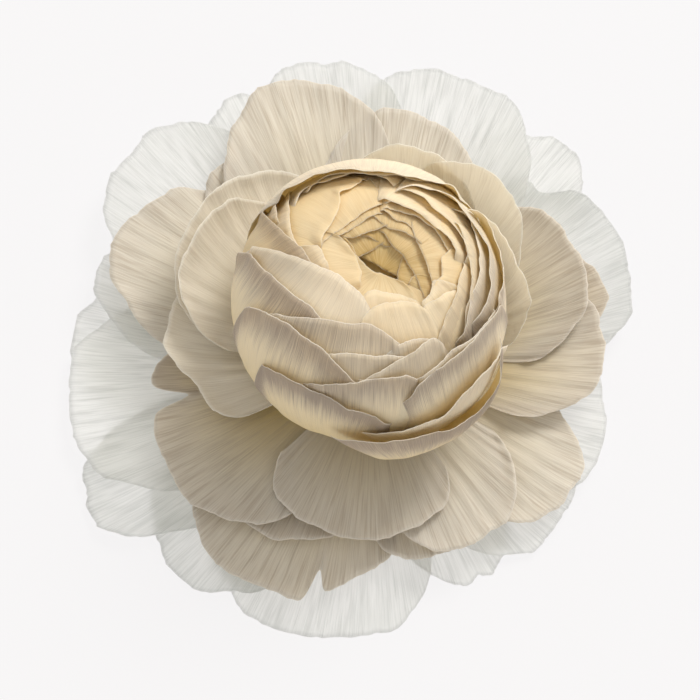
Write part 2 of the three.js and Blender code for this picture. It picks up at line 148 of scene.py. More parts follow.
# How an open petal is drawn
EDGE_SWEEP = 108.0  # how far its edge runs round its widest place, from the tip to either side
CLAW_HALF = 2.4  # half the width of its claw
ROW_SPREAD = 0.9  # below 1, its rows lie closer together towards its edge
NOTCH_COLUMNS = 17
NOTCH_REACH = 1.6  # in widths of the notch
SCALLOPS = 0.012  # in its edge, as the two below, as shares of its size
BITES = 0.010
FRAYING = 0.004
PLEATS = 0.24
CURL = 0.5  # of its edge, as a share of the ruffle
VEIN_SPREAD = 1.15  # width of the fan of its veins, as a share of its own
TIP_THINNING = 0.5  # share of its thickness that it loses towards its edge


def wrap(level, *rim, **own):
    """A petal of the head, on a shell round the globe's centre. The shells dip round the eye.

    level: how many shells in from the outermost, or a pair for the first and the last end of the rim.
    rim: directions round the globe and down from its top, which the edge runs through.
    peel: how far the edge stands off its shell. tinge: as above, partly painted shade. bulge: how far the
    middle of a loose petal swells from its shell."""
    return {"peel": 0.9, "bulge": 0, "tinge": 0.05, "level": level, "rim": rim, **own}


# Tinge strengths of the head's petals: partly their own tint, partly painted shade where they lie in shade
CRESCENTS = [
    wrap(-5, (256, 97), (262, 94), (270, 92), (278, 92), (292, 94), (304, 98), (313, 101), (320, 97),
        (325, 90), (329, 81), (334, 76), peel=-0.6, bulge=2.2, tinge=1.2),
    wrap(-2, (268, 95), (278, 92), (289, 90), (300, 87), (306, 83), (314, 80), (321, 79), (330, 79),
        (336, 85), peel=0.9, bulge=0.6, tinge=0.35),
]
OUTER = [
    wrap(0, (222, 78), (227, 74), (233, 72), (245, 72), (256, 74), (261, 77), (267, 79), (273, 82), (280, 92),
        tinge=1.35),
    wrap(0, (284, 79), (287, 73), (290, 69), (295, 67), (304, 65), (317, 64), (332, 65), (341, 66), (346, 72),
        tinge=0.95),
    wrap(1, (242, 74), (247, 70), (256, 67), (268, 64), (277, 63), (286, 63), (293, 69), tinge=0.9),
    wrap(1, (290, 69), (293, 66), (300, 64), (312, 62), (324, 64), (334, 65), (341, 68), tinge=0.65),
    wrap(2, (200, 68), (205, 60), (213, 55), (224, 52), (239, 52), (246, 53), (252, 56), (261, 62), (267, 68),
        tinge=1.15),
    wrap((2.5, 2), (265, 66), (273, 61), (282, 58), (292, 55), (298, 53), (304, 53), (308, 60), tinge=0.55),
    wrap((3.4, 3), (246, 60), (251, 56), (262, 54), (270, 54), (280, 55), (290, 58), peel=0.35, tinge=0.5),
    wrap(3, (340, 72), (346, 69), (356, 69), (370, 68), (380, 67), (386, 61), (390, 55),
        peel=0.8, tinge=(1.1, 0.15)),
    wrap(4, (211, 59), (219, 52), (226, 49), (232, 46), (243, 43), (254, 42), (270, 41), (277, 44), (282, 47),
        (288, 53), tinge=0.75),
    wrap(4, (273, 59), (278, 56), (284, 52), (291, 51), (298, 52), (306, 56), peel=0.4, tinge=0.5),
    wrap((3, 3.2), (36, 56), (43, 44), (51, 36), (60, 31), (74, 29), (90, 29), (104, 31), (117, 34),
        (127, 39), (138, 41), (148, 50), peel=1.1, tinge=(0.1, 0.5)),
    wrap((4, 6), (326, 63), (332, 61), (345, 60), (354, 58), (364, 57), (374, 50), (383, 48), (391, 46),
        (398, 41), (404, 36), (412, 31), (423, 25), peel=1.2, tinge=(1.1, 0.0)),
    wrap(5, (169, 72), (173, 64), (178, 56), (185, 51), (194, 48), (200, 45), (210, 43), (225, 41), (233, 41),
        (244, 45), tinge=1.1),
    wrap((5, 9), (38, 68), (43, 65), (48, 57), (51, 47), (56, 40), (64, 37), (75, 34), (90, 34), (105, 38),
        (122, 44), (146, 43), peel=0.6, tinge=(0.0, 0.4)),
    wrap((6, 7), (315, 65), (328, 56), (337, 54), (348, 53), (360, 53), (372, 52), (385, 49), (392, 47),
        peel=1.0, tinge=(1.1, 0.0)),
    wrap(6, (171, 60), (180, 47), (185, 41), (191, 37), (199, 32), (206, 29), (213, 27), (225, 25), (238, 24),
        (253, 26), (264, 29), (272, 36), tinge=0.35),
]
MIDDLE = [
    wrap((7, 8), (66, 30), (76, 33), (87, 36), (101, 37), (113, 39), (123, 40), (133, 43),
        peel=0.3, tinge=0.1),
    wrap(7, (143, 72), (147, 65), (153, 57), (163, 45), (172, 38), (182, 33), (192, 29), (202, 28), (213, 29),
        tinge=1.0),
    wrap(7, (317, 65), (328, 56), (338, 52), (348, 49), (354, 47), (365, 44), (371, 42), (381, 40),
        peel=1.0, tinge=(1.0, 0.0)),
    wrap(7, (263, 43), (268, 38), (274, 35), (284, 34), (298, 35), (306, 39), (311, 46),
        peel=0.5, tinge=0.15),
    wrap(8, (132, 70), (136, 65), (144, 55), (151, 49), (161, 45), tinge=0.6),
    wrap(8, (303, 61), (311, 55), (317, 52), (329, 48), (337, 47), (344, 46), (354, 47),
        peel=0.6, tinge=(0.5, 0.3)),
    wrap(8, (302, 47), (306, 43), (312, 42), (320, 43), (327, 44), (335, 49), peel=0.5, tinge=0.1),
    wrap(8, (352, 48), (361, 44), (370, 42), (376, 39), (382, 35), (390, 32), (400, 31), (412, 29), (424, 28),
        peel=1.2, tinge=(0.3, 0.0)),
    wrap(9, (186, 34), (189, 27), (191, 23), (202, 22), (219, 23), (223, 26), peel=0.5, tinge=0.3),
    wrap(9, (130, 63), (139, 50), (151, 42), (163, 37), (176, 34), (190, 31), peel=0.6, tinge=0.3),
    wrap(9, (262, 33), (268, 28), (277, 27), (287, 29), (299, 32), (310, 40), peel=0.5, tinge=0.1),
    wrap(9, (307, 45), (310, 40), (315, 40), (323, 39), (329, 37), (333, 40), (337, 48), peel=0.5, tinge=0.1),
    wrap(9, (352, 43), (362, 38), (366, 35), (371, 32), (379, 29), (388, 25), (402, 21), (420, 19), (439, 19),
        peel=1.0, tinge=(0.2, 0.0)),
]

# Petals that close round the eye, as above, but with their directions taken round and down from the eye
INNER = [
    wrap(10, (97, 52), (103, 47), (110, 44), (118, 43), (121, 38), (126, 35), (136, 32), (148, 31), (165, 30),
        peel=0.6),
    wrap(10, (147, 30), (145, 24), (147, 20), (157, 14), (172, 12), (194, 10), (224, 14), peel=0.5),
    wrap(10, (338, 30), (343, 25), (350, 26), (356, 29), (365, 28), (374, 29), (382, 37), peel=0.4),
    wrap(10, (13, 40), (22, 36), (38, 35), (51, 34), (65, 33), (78, 32), (90, 33), peel=0.8),
    wrap(11, (83, 36), (94, 31), (107, 29), (116, 28), (126, 27), (145, 28), (164, 31), peel=0.4),
    wrap(11, (14, 36), (24, 33), (37, 33), (46, 32), (58, 31), (72, 30), (83, 30), (93, 30), peel=0.6),
    wrap(12, (88, 29), (99, 27), (107, 26), (114, 25), (128, 25), (140, 25), (153, 28), (165, 32), peel=0.4),
    wrap(12, (31, 24), (45, 23), (53, 25), (60, 27), (68, 27), (75, 26), (83, 28), (95, 30), peel=0.4),
    wrap(12, (337, 30), (349, 25), (362, 23), (379, 22), (390, 22), (403, 23), (413, 25), (423, 30),
        peel=0.4),
    wrap(12, (150, 16), (160, 10), (180, 5), (235, 1.2), (287, 1), (320, 3), (330, 8), (333, 15), peel=0.2),
    wrap(13, (80, 24), (98, 21), (114, 20), (127, 20), (137, 22), (144, 27), peel=0.4),
    wrap(13, (34, 26), (51, 23), (61, 22), (73, 22), (84, 22), (93, 25), (103, 29), peel=0.4),
    wrap(13, (139, 26), (143, 18), (153, 14), (169, 11), (208, 11), peel=0.3),
    wrap(14, (323, 28), (339, 21), (353, 18), (371, 15), (398, 14), (422, 14), (435, 16), (444, 19),
        (455, 22), peel=0.4),
    wrap(14, (318, 20), (330, 17), (344, 16), (354, 17), (357, 21), peel=0.3),
    wrap(15, (80, 16), (104, 13), (122, 12), (140, 13), (162, 15), peel=0.3),
    wrap(15, (56, 18), (77, 14), (91, 15), (108, 18), (124, 22), peel=0.2),
    wrap(15, (326, 11), (352, 9), (376, 11), (389, 13), (402, 17), peel=0.3),
    wrap(15, (318, 19), (326, 10), (336, 11), (343, 15), (346, 19), peel=0.2),
    wrap(16, (340, 12), (367, 4), (420, 1.2), (479, 4), (499, 9), (506, 15), peel=0.2),
]
SHELL_FIRST = 24.9  # distance of the outermost shell from the globe's centre
SHELL_STEP = 0.3
EYE = (295.0, 17.0)  # the eye's direction, given as in the rims
EYE_DEPTH = 4.0
EYE_WIDTH = 24.0
EYE_TINGE_AND_SHADE = 0.17  # how much more golden brown each shell round the eye is: partly its own colour, partly painted shade in the eye's hollow

# How a petal of the head is drawn
HEAD_COLUMNS = 64
HEAD_ROWS = 34
FOOT_ROWS = 0.22  # share of its rows between its foot and the globe
LOW_POLAR = 112.0  # down from the globe's top, where it leaves the globe for its foot
LOW_FROM_EYE = 66.0  # where one round the eye ends, inside the head
LOW_WIDTH = 0.75  # share of its width that it keeps there, or a loose one does
LOOSE_WIDTH = 0.7
LOW_SPAN = 70.0  # the most of the globe that it covers there
SIDE_ANGLE = 7.0  # how far beyond its rim the sides of a closed petal run down
SIDE_BEND = 3.0  # where they bend on the way
SIDE_STOP = 4.0  # how far above its lowest place they stop
SIDE_SINK = 0.25  # how far they tuck in under their neighbours
SIDE_SHARE = 0.15  # share of the half width over which the waves fade out
CORNERS = 1.2  # angle that the corners of a rim are rounded over
RIM_STEPS = 4  # steps per degree for that
WAVE_UNIT = 5.0  # width that the waves along a rim are counted in
THINNER = 0.7  # thickness of the head's petals, as a share of the others'


def colour_setting(name, description, default):
    return FloatVectorProperty(
        name=name, description=description, default=default, subtype="COLOR", size=3, min=0, max=1)


def length_setting(name, description, low, high, default):
    return FloatProperty(
        name=name, description=description, default=default, unit="LENGTH", min=low, max=high)


class FlowerColours(bpy.types.PropertyGroup):
    """Colours of the flower's tissues."""

    guard: colour_setting("Guard petals", "Blade of the outermost petals", (0.95, 0.95, 0.93))
    # Spread petals: greyer than the others, partly their own tone, partly painted shade of the head and the
    # layers above them
    spread: colour_setting("Spread petals", "Blade of the petals on the guard petals", (0.82, 0.795, 0.73))
    collar: colour_setting("Collar petals", "Blade of the petals cupped round the head", (0.94, 0.895, 0.79))
    head: colour_setting("Head petals", "Blade of the head's petals", (0.99, 0.91, 0.75))
    # Heart: partly the yellow base of the head's petals, partly painted golden shade deep in the crevices
    # between them
    heart: colour_setting("Heart", "Lower parts and inner faces of the head's petals", (0.98, 0.80, 0.40))
    # Partly the head petals' own tint, partly painted shade along the edges of their outer faces
    tinge: colour_setting("Tinge", "Tinge along the edges of the head's outer faces", (0.39, 0.325, 0.27))
    # Eye: partly the golden brown of the petals round the eye, partly painted shade in its hollow
    eye: colour_setting("Eye", "Golden brown of the small petals round the eye", (0.62, 0.43, 0.15))
    claw: colour_setting("Claws", "Yellow green where the open petals begin", (0.62, 0.49, 0.22))
    stem: colour_setting("Stem", "Green of the stem and the receptacle", (0.30, 0.38, 0.12))
    sepal: colour_setting("Sepals", "Green of the sepals", (0.33, 0.40, 0.13))


class FlowerSizes(bpy.types.PropertyGroup):
    """Sizes of the petals that a user would change."""

    thickness: length_setting("Petal thickness", "Thickness of a petal at its claw", 0.0001, 0.001, 0.00026)
    ruffle: length_setting("Ruffle", "How far the edges of the petals wave", 0, 0.004, 0.0008)
    vein_gap: length_setting("Vein spacing", "Distance between the veins", 0.0002, 0.003, 0.00075)
    columns: IntProperty(name="Columns", description="Faces across a petal", min=16, max=160, default=76)
    rows: IntProperty(name="Rows", description="Faces along a petal", min=8, max=80, default=34)


def wobble(x, seed, waves, fade=1.0):
    """A smooth irregular curve between about -1 and 1 that runs over x, the same for the same seed."""
    rng = np.random.default_rng(int(seed) + 1)
    total = np.zeros_like(x, dtype=float)
    size = 0.0
    for wave in waves:
        part = wave ** -fade
        total = total + part * np.sin(wave * x + rng.uniform(0, 2 * np.pi))
        size += part
    return total / size


def smooth(x, low, high):
    """0 below low and 1 above high, with a smooth step between."""
    t = np.clip((x - low) / (high - low), 0, 1)
    return t * t * (3 - 2 * t)


def round_axis(r, angle, z):
    """Points from their distance from an upright axis, their angle round it and their height."""
    return np.stack([r * np.cos(angle), r * np.sin(angle), z], -1)


def running_length(steps):
    """Length from the start of a line to each of its points, from the lengths of its steps."""
    return np.concatenate([np.zeros_like(steps[:1]), np.cumsum(steps, axis=0)])


def bezier(points, t):
    """Place and slope at t of the cubic Bezier curve with these four control points."""
    a, b, c, d = points
    s = 1 - t
    place = s**3 * a + 3 * s * s * t * b + 3 * s * t * t * c + t**3 * d
    slope = 3 * (s * s * (b - a) + 2 * s * t * (c - b) + t * t * (d - c))
    return place, slope


def even_line(points, steps=160):
    """A cubic Bezier curve: its place and direction at a share of its length, and that length."""
    points = np.array(points, dtype=float)
    t = np.linspace(0, 1, steps)[:, None]
    place, _ = bezier(points, t)
    length = running_length(np.linalg.norm(np.diff(place, axis=0), axis=1))
    share = length / length[-1]

    def at(s):
        where = np.interp(np.clip(s, 0, 1), share, t[:, 0])[..., None]
        spot, slope = bezier(points, where)
        return spot, slope / np.linalg.norm(slope, axis=-1, keepdims=True)

    return at, length[-1]


def across_places(columns, notches):
    """Places across a petal from -1 to 1, closer together at its notches."""
    v = np.linspace(-1, 1, columns)
    near = np.linspace(-NOTCH_REACH, NOTCH_REACH, NOTCH_COLUMNS)
    for place, _, width in notches:
        v = np.concatenate([v, place + width * near])
    return np.unique(np.clip(np.round(v, 5), -1, 1))


def petal_edge(petal, v, seed):
    """How far out a petal's edge lies at the places v, as a share of its size."""
    edge = 1 + SCALLOPS * np.sin(9 * v + petal["at"])
    edge = edge + BITES * wobble(v, seed, (17, 23, 31)) + FRAYING * wobble(v, seed + 7, (61, 83, 109))
    for place, depth, width in petal["notches"]:
        edge = edge - depth * np.exp(-(((v - place) / width) ** 2))
    return edge


def open_petal(petal, sizes, seed):
    """The middle surface of a petal that spreads from its claw.

    It gives three grids: the points, their share of the way from claw to edge, and their place in the
    fan of the veins: distance across, along and from the edge."""
    foot = petal["foot"] + petal["pile"] * petal["layer"]
    tip_out, tip_up = petal["tip"]
    handle = petal["full"] * np.hypot(tip_out - CLAW_START, tip_up - foot)
    start, end = radians(petal["start"]), radians(petal["end"])
    line, length = even_line([
        (CLAW_START, foot),
        (CLAW_START + handle * cos(start), foot + handle * sin(start)),
        (tip_out - handle * cos(end), tip_up - handle * sin(end)),
        (tip_out, tip_up),
    ])
    v = across_places(sizes.columns, petal["notches"])[None]
    q = (np.linspace(0, 1, sizes.rows) ** ROW_SPREAD)[:, None]
    edge = petal_edge(petal, v, seed)
    sweep = radians(EDGE_SWEEP) * v
    belly = petal["belly"]
    edge_along = edge * length * (belly + (1 - belly) * np.cos(sweep))
    edge_across = edge * petal["half"] * np.sin(sweep)
    along = q * edge_along
    across = (1 - q) * CLAW_HALF * v + q * edge_across

    # Across, the petal bends round the stem's axis where it stands up, and not where it lies flat
    middle, tangent = line(np.clip(along / length, 0, 1))
    bend = tangent[..., 1] / middle[..., 0]
    turn = bend * across
    flat = np.abs(turn) < 1e-6
    bend = np.where(flat, 1, bend)
    side = np.where(flat, across, np.sin(turn) / bend)
    lift = np.where(flat, 0, (1 - np.cos(turn)) / bend)

    ruffle = sizes.ruffle / MM
    waves = wobble(v, seed + 3, (5, 8, 13)) * ruffle * q**3
    pleats = PLEATS * wobble(v, seed + 4, (29, 37, 47), 0.4) * smooth(q, 0.15, 0.8)
    curl = CURL * ruffle * (1 + wobble(v, seed + 5, (4, 7, 11))) * smooth(q, 0.86, 1) ** 2
    lift = lift + waves + pleats + curl
    out = middle[..., 0] - tangent[..., 1] * lift
    up = middle[..., 1] + tangent[..., 0] * lift
    if "floor" in petal:
        up = np.maximum(up, petal["floor"])
    at = radians(petal["at"])
    points = np.stack([out * cos(at) - side * sin(at), out * sin(at) + side * cos(at), up], -1)
    width = np.abs(edge_across).max()
    fan = np.stack([v * width * VEIN_SPREAD + 0 * q, along, edge_along * (1 - q)], -1)
    return points, q + 0 * v, fan


def with_sides(rim, lowest):
    """The rim of a closed petal, with a side that runs down from each of its ends."""
    (a0, p0), (a1, p1) = rim[0], rim[-1]
    low = lowest - SIDE_STOP
    return [
        (a0 - SIDE_ANGLE, low), (a0 - SIDE_BEND, (p0 + low) / 2),
        *rim,
        (a1 + SIDE_BEND, (p1 + low) / 2), (a1 + SIDE_ANGLE, low),
    ]


def rounded_line(points, columns, sides):
    """Places along a line of (azimuth, polar) with its corners rounded off.

    A share of the columns goes to each of the line's two steep ends, which sides counts in points.
    With them come how far across they are, from -1 to 1 between those ends, and half that width."""
    points = np.array(points, dtype=float)
    steps = np.diff(points, axis=0)
    steps[:, 0] *= np.sin(np.radians((points[1:, 1] + points[:-1, 1]) / 2))
    length = running_length(np.hypot(steps[:, 0], steps[:, 1]))
    even = np.arange(0, length[-1], 1 / RIM_STEPS)
    spread = int(RIM_STEPS * 3 * CORNERS)
    weights = np.exp(-0.5 * (np.arange(-spread, spread + 1) / (RIM_STEPS * CORNERS)) ** 2)
    line = []
    for axis in (0, 1):
        values = np.interp(even, length, points[:, axis])
        before = 2 * values[0] - values[spread:0:-1]
        after = 2 * values[-1] - values[-2:-spread - 2:-1]
        padded = np.concatenate([before, values, after])
        line.append(np.convolve(padded, weights / weights.sum(), "valid"))
    left, right = length[sides], length[-1 - sides]
    if sides:
        few = columns // 8
        at = np.concatenate([
            np.linspace(0, left, few, endpoint=False),
            np.linspace(left, right, columns - 2 * few, endpoint=False),
            np.linspace(right, length[-1], few),
        ])
    else:
        at = np.linspace(0, length[-1], columns)
    middle, reach = (left + right) / 2, (right - left) / 2
    return np.interp(at, even, line[0]), np.interp(at, even, line[1]), (at - middle) / reach, reach


def from_eye(azimuth, polar):
    """Degrees between a direction of the globe and the eye."""
    a, p = np.radians(azimuth), np.radians(polar)
    eye_a, eye_p = np.radians(EYE)
    near = np.cos(p) * cos(eye_p) + np.sin(p) * sin(eye_p) * np.cos(a - eye_a)
    return np.degrees(np.arccos(np.clip(near, -1, 1)))


def shell_radius(level, away):
    """Distance of a shell from the globe's centre, away degrees from the eye, round which it dips."""
    return SHELL_FIRST - SHELL_STEP * level - EYE_DEPTH * np.exp(-((away / EYE_WIDTH) ** 2))


def turned_to_eye(points):
    """Points laid out with the eye at the globe's top, moved to where the eye is."""
    a, p = np.radians(EYE)
    eye = Vector((sin(p) * cos(a), sin(p) * sin(a), cos(p)))
    turn = np.array(Vector((0, 0, 1)).rotation_difference(eye).to_matrix())
    centre = np.array([0, 0, GLOBE_CENTRE])
    return (points - centre) @ turn.T + centre


def foot_line(out, up, level, s):
    """The lower part of a petal of the head, from its foot out to the globe. s: share of that way."""
    low = radians(LOW_POLAR)
    r, z = HEAD_FOOT[0], HEAD_FOOT[1] - FOOT_STEP * level
    handle = 0.5 * (out - r)
    across, _ = bezier([r + 0 * out, r + handle, out + handle * cos(low), out], s)
    height, _ = bezier([z + 0 * up, z + 0 * up, up - handle * sin(low), up], s)
    return across, height


def wrapped_petal(petal, sizes, seed, kind):
    """The middle surface of a petal of the head, in the head's own frame, in the grids of open_petal.

    kind: "closed" for one whose sides tuck in, "open" for a loose one, "eye" for one round the eye."""
    loose, at_eye = kind == "open", kind == "eye"
    lowest = LOW_FROM_EYE if at_eye else LOW_POLAR
    rim = petal["rim"]
    if not loose:
        rim = with_sides(rim, lowest)
    azimuth, polar, u, reach = rounded_line(rim, HEAD_COLUMNS, 0 if loose else 2)
    width = radians(reach) * SHELL_FIRST
    x = u * width / WAVE_UNIT
    free = np.clip(1 - np.abs(u), 0, SIDE_SHARE) / SIDE_SHARE
    ragged = 0.35 * wobble(x, seed, (3, 5, 8, 13), 0.8) + 0.2 * wobble(x, seed + 1, (23, 37, 51), 0.4)
    polar = polar + free * ragged

    # Directions of the rows, from where the petal leaves the globe up to its rim
    below = 0.0 if at_eye else FOOT_ROWS
    q = np.linspace(0, 1, HEAD_ROWS)[:, None]
    t = np.clip((q - below) / (1 - below), 0, 1)
    middle = (azimuth[0] + azimuth[-1]) / 2
    span = azimuth[-1] - azimuth[0]
    narrow = LOOSE_WIDTH if loose else min(LOW_WIDTH, LOW_SPAN / span)
    a = middle + (azimuth - middle) * (narrow + (1 - narrow) * t)
    p = lowest + (polar - lowest) * t

    # Distance from the globe's centre: shell, peeling edge, bulge, sunk sides and soft waves
    first, last = np.broadcast_to(petal["level"], 2)
    level = first + (last - first) * np.clip((u + 1) / 2, 0, 1)
    r = shell_radius(level, p if at_eye else from_eye(a, p))
    from_rim = (1 - t) * np.radians(lowest - polar) * r
    peel = petal["peel"]
    fading = smooth(u, -1, -0.3) if loose else free
    r = r + peel * smooth(1 - from_rim / (2 + 3 * abs(peel)), 0, 1) ** 1.3 * fading
    r = r + petal["bulge"] * np.clip(1 - u**4, 0, 1)
    if not loose:
        r = r - SIDE_SINK * (1 - free)
    ruffle = 0.4 * sizes.ruffle / MM
    r = r + ruffle * wobble(x, seed + 2, (3, 5, 9)) * smooth(1 - from_rim / 3, 0, 1) * free
    r = r + 0.07 * wobble(x, seed + 4, (9, 14, 21), 0.5) * smooth(1 - from_rim / 7, 0, 1) * free
    r = r + 0.12 * wobble(x, seed + 6, (2, 3, 5), 0.5) * smooth(from_rim, 0, 6) * free

    out = r * np.sin(np.radians(p))
    up = GLOBE_CENTRE + r * np.cos(np.radians(p))
    if below:
        lower, lift = foot_line(out[:1], up[:1], (first + last) / 2, np.clip(q / below, 0, 1))
        out = np.where(q < below, lower, out)
        up = np.where(q < below, lift, up)
    points = round_axis(out, np.radians(a), up)
    if at_eye:
        points = turned_to_eye(points)
    along = running_length(np.linalg.norm(np.diff(points, axis=0), axis=-1))
    fan = np.stack([u * width + 0 * q, along, along[-1:] - along], -1)
    return points, along / np.maximum(along[-1:], 1e-6), fan


def in_place(points):
    """Points of the head, from its own leaning frame to the flower's."""
    towards = radians(HEAD_LEAN_TOWARDS)
    lean = Matrix.Rotation(radians(HEAD_LEAN), 4, Vector((-sin(towards), cos(towards), 0)))
    m = np.array(Matrix.Translation(HEAD_BASE) @ lean)
    return points @ m[:3, :3].T + m[:3, 3]


def put_in_scene(name, data):
    thing = bpy.data.objects.new(name, data)
    bpy.context.scene.collection.objects.link(thing)
    return thing


class Tissue:
    """Collects closed blades and makes one mesh of them."""

    def __init__(self):
        self.points = []
        self.quads = []
        self.place = []
        self.fan = []
        self.count = 0

    def add_blade(self, points, place, fan, thickness, seed, tinge=1.0):
        """A blade from a grid of points: a face on either side, and a wall round them."""
        rows, columns = points.shape[:2]
        normal = np.cross(np.gradient(points, axis=0), np.gradient(points, axis=1))
        normal /= np.maximum(np.linalg.norm(normal, axis=-1, keepdims=True), 1e-9)
        half = (0.5 * thickness * (1 - TIP_THINNING * smooth(place, 0.75, 1)))[..., None]
        number = rows * columns
        # Strength of the tinge, which is partly painted shade, carried in the place attribute
        strength = np.broadcast_to(tinge, place.shape).ravel()
        for face, side in ((1, 0.0), (-1, 1.0)):
            self.points.append((points + face * half * normal).reshape(-1, 3))
            self.place.append(np.stack([place.ravel(), np.full(number, side), strength], -1))
            self.fan.append(fan.reshape(-1, 3) + [seed % VEIN_TURNS * VEIN_SHIFT, 0, 0])
        grid = np.arange(number).reshape(rows, columns) + self.count
        a, b = grid[:-1, :-1].ravel(), grid[1:, :-1].ravel()
        c, d = grid[1:, 1:].ravel(), grid[:-1, 1:].ravel()
        self.quads.append(np.stack([a, b, c, d], -1))
        self.quads.append(np.stack([a, d, c, b], -1) + number)
        loop = np.concatenate([grid[0, :-1], grid[:-1, -1], grid[-1, :0:-1], grid[:0:-1, 0]])
        after = np.roll(loop, -1)
        self.quads.append(np.stack([loop, after, after + number, loop + number], -1))
        self.count += 2 * number

    def add_surface(self, points, place, fan):
        """A turned surface from a grid whose last column meets its first, with its ends filled."""
        rows, columns = points.shape[:2]
        grid = np.arange(rows * columns).reshape(rows, columns) + self.count
        after = np.roll(grid, -1, axis=1)
        self.points.append(points.reshape(-1, 3))
        self.place.append(place.reshape(-1, 3))
        self.fan.append(fan.reshape(-1, 3))
        a, b = grid[:-1].ravel(), after[:-1].ravel()
        c, d = after[1:].ravel(), grid[1:].ravel()
        self.quads.append(np.stack([a, b, c, d], -1))
        k = np.arange(columns // 2 - 1)
        for ring in (grid[0, ::-1], grid[-1]):
            self.quads.append(np.stack([ring[k], ring[k + 1], ring[-2 - k], ring[-1 - k]], -1))
        self.count += rows * columns

    def make(self, name, material, node):
        """One mesh of all of it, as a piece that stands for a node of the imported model."""
        points = (np.concatenate(self.points) * MM + AXIS).astype(np.float32)
        quads = np.concatenate(self.quads).astype(np.int32)
        mesh = bpy.data.meshes.new(name)
        mesh.vertices.add(len(points))
        mesh.vertices.foreach_set("co", points.ravel())
        mesh.loops.add(quads.size)
        mesh.loops.foreach_set("vertex_index", quads.ravel())
        mesh.polygons.add(len(quads))
        mesh.polygons.foreach_set("loop_start", np.arange(0, quads.size, 4, dtype=np.int32))
        mesh.update(calc_edges=True)
        mesh.shade_smooth()
        for title, values in (("place", self.place), ("fan", self.fan)):
            layer = mesh.attributes.new(title, "FLOAT_VECTOR", "POINT")
            layer.data.foreach_set("vector", np.concatenate(values).astype(np.float32).ravel())
        if mesh.validate():
            raise RuntimeError(f"{name} has faulty faces")
        mesh.materials.append(material)
        piece = put_in_scene(name, mesh)
        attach(piece, "root")
        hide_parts(node)


NUMBER = "NodeSocketFloat"
COLOUR = "NodeSocketColor"
WHITE = (1, 1, 1, 1)


class Nodes:
    """Short ways to place and join the nodes of a material or a group."""

    def __init__(self, tree):
        self.tree = tree

    def put(self, kind, inputs=None, **settings):
        """A new node. inputs: a value, or a socket to join on, for each socket that it names."""
        node = self.tree.nodes.new(kind)
        for key, value in settings.items():
            setattr(node, key, value)
        for key, value in (inputs or {}).items():
            if isinstance(value, bpy.types.NodeSocket):
                self.tree.links.new(value, node.inputs[key])
            else:
                node.inputs[key].default_value = value
        return node

    def times(self, a, b, clamp=False):
        return self.math("MULTIPLY", a, b, clamp)

    def math(self, operation, a, b, clamp=False):
        return self.put("ShaderNodeMath", {0: a, 1: b}, operation=operation, use_clamp=clamp).outputs[0]

    def scaled(self, value, by, plus):
        return self.put("ShaderNodeMath", {0: value, 1: by, 2: plus}, operation="MULTIPLY_ADD").outputs[0]

    def ramp(self, value, low, high, start=0.0, end=1.0):
        """start below low and end above high, with a smooth step between."""
        inputs = {"Value": value, "From Min": low, "From Max": high, "To Min": start, "To Max": end}
        return self.put("ShaderNodeMapRange", inputs, interpolation_type="SMOOTHSTEP").outputs["Result"]

    def mix(self, factor, a, b):
        """One colour blended into another."""
        return self.put("ShaderNodeMix", {0: factor, 6: a, 7: b}, data_type="RGBA").outputs[2]

    def attribute(self, name):
        """The three numbers that each point of a mesh carries under this name."""
        source = self.put("ShaderNodeAttribute", attribute_name=name, attribute_type="GEOMETRY")
        apart = self.put("ShaderNodeSeparateXYZ", {0: source.outputs["Vector"]})
        return tuple(apart.outputs)


def new_group(name, inputs, kind, outputs):
    """A shader node group, its nodes, and its sockets on both sides, as the nodes inside see them.

    inputs: each with its usual value. kind: that of all the outputs."""
    group = bpy.data.node_groups.new(name, "ShaderNodeTree")
    for title, usual in inputs.items():
        own = NUMBER if np.isscalar(usual) else COLOUR
        group.interface.new_socket(title, in_out="INPUT", socket_type=own).default_value = usual
    for title in outputs:
        group.interface.new_socket(title, in_out="OUTPUT", socket_type=kind)
    n = Nodes(group)
    return group, n, n.put("NodeGroupInput").outputs, n.put("NodeGroupOutput").inputs


def vein_group():
    """Fanned veins of a petal: fine lines along it that waver, fork and fade."""
    name = "petal veins"
    if name in bpy.data.node_groups:
        return bpy.data.node_groups[name]
    group, n, given, result = new_group(
        name, {"Spacing": 0.75, "Stretch": 22.0}, NUMBER, ("Lines", "Streaks", "Height"))
    across, along, _ = n.attribute("fan")

    def lines(spacing_share, stretch_share, detail):
        x = n.math("DIVIDE", across, n.times(given["Spacing"], spacing_share))
        y = n.math("DIVIDE", along, n.times(given["Stretch"], stretch_share))
        at = n.put("ShaderNodeCombineXYZ", {0: x, 1: y}).outputs[0]
        noise = {"Vector": at, "Scale": 2.2, "Detail": detail, "Roughness": 0.55}
        return n.put("ShaderNodeTexNoise", noise).outputs["Fac"]

    fine = lines(1.0, 1.0, 2.0)
    finer = lines(0.45, 0.6, 1.0)
    broad = lines(4.5, 1.6, 2.0)
    both = n.math("ADD", n.times(fine, 0.62), n.times(finer, 0.38))
    group.links.new(n.ramp(both, 0.40, 0.64), result["Lines"])
    group.links.new(n.ramp(broad, 0.38, 0.66), result["Streaks"])
    group.links.new(both, result["Height"])
    return group


